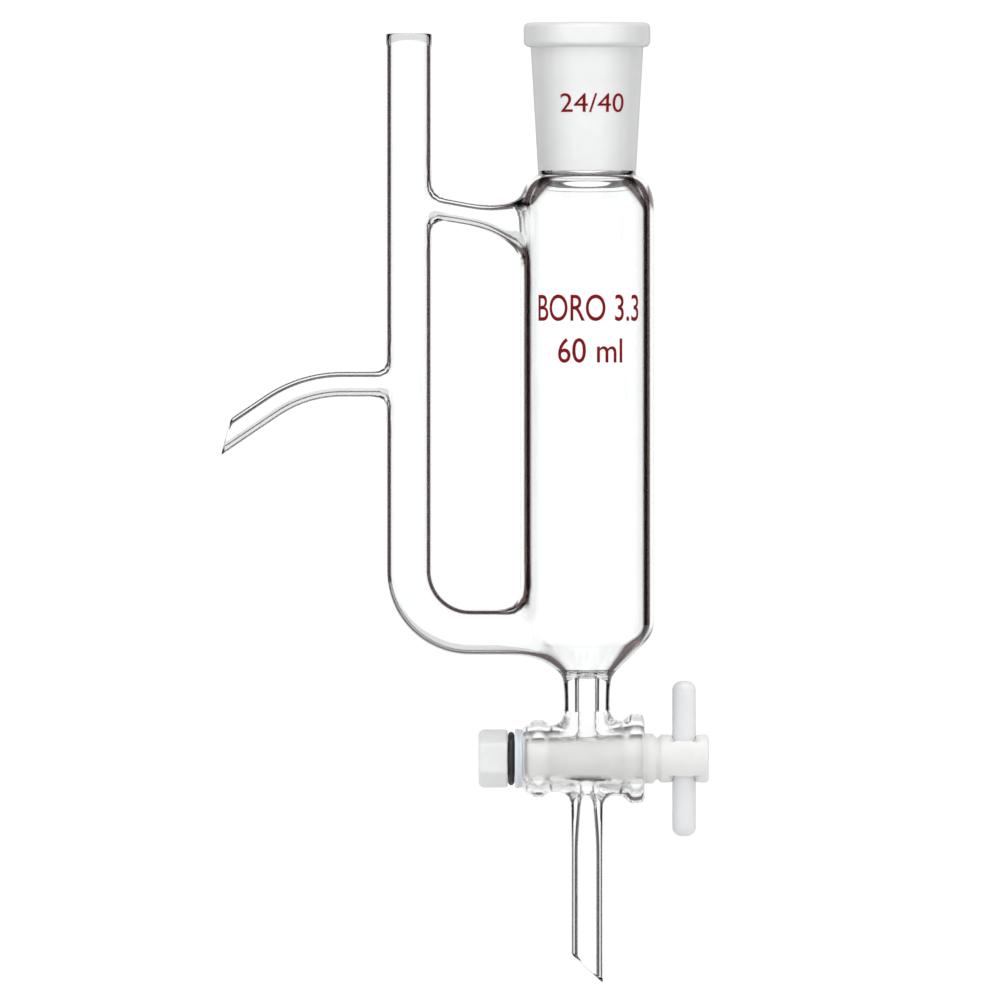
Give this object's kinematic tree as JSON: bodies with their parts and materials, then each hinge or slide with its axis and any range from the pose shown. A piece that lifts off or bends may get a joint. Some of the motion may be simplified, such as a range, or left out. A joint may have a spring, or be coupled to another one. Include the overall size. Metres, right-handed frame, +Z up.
{
  "type": "separatory funnel",
  "caption": "Glass oil and water separator with a ground socket on top, a straight reservoir, a side riser with an overflow spout, and a plastic stopcock over a drip stem.",
  "frame": {"origin": "centre of the ground socket's mouth, in the plane of its rim", "axes": "+Z up along the reservoir's axis and out of the socket, +X from the riser tube towards the stopcock's handle, so the open stopcock's bore runs along Z"},
  "size_m": [0.1317, 0.0362, 0.2593],
  "materials": {
    "frosted_glass": "ground and frosted borosilicate glass",
    "clear_glass": "clear fire-polished borosilicate glass",
    "plug_ptfe": "waxy white PTFE",
    "handle_plastic": "satin white plastic rod",
    "washer_ptfe": "thin PTFE with a bluish tint",
    "o_ring_rubber": "black rubber",
    "nut_plastic": "satin white plastic"
  },
  "bodies": {
    "glass": {"ground_socket": "frosted_glass", "reservoir_shoulder": "clear_glass", "reservoir_body": "clear_glass", "reservoir_base": "clear_glass", "bridge_tube": "clear_glass", "riser_tube": "clear_glass", "return_bend": "clear_glass", "overflow_spout": "clear_glass", "stopcock_neck": "clear_glass", "stopcock_barrel": "clear_glass", "drip_stem": "clear_glass"},
    "plug": {"stopcock_plug": "plug_ptfe", "handle_rod": "handle_plastic", "ptfe_washer": "washer_ptfe"},
    "seal": {"o_ring": "o_ring_rubber"},
    "nut": {"lock_nut": "nut_plastic"}
  },
  "joints": [
    {"name": "plug_turn", "type": "hinge", "parent": "glass", "child": "plug", "pos_m": [0, 0, -0.1987], "axis": [1, 0, 0], "continuous": true},
    {"name": "seal_travel", "type": "slide", "parent": "plug", "child": "seal", "axis": [-1, 0, 0], "range_m": [0, 0.006]},
    {"name": "nut_turn", "type": "hinge", "parent": "seal", "child": "nut", "pos_m": [-0.025, 0, -0.1987], "axis": [-1, 0, 0], "range_deg": [0, 1080]}
  ],
  "couplings": [
    {"joint": "nut_turn", "follows": "seal_travel", "rad_per_m": 3141.6}
  ]
}
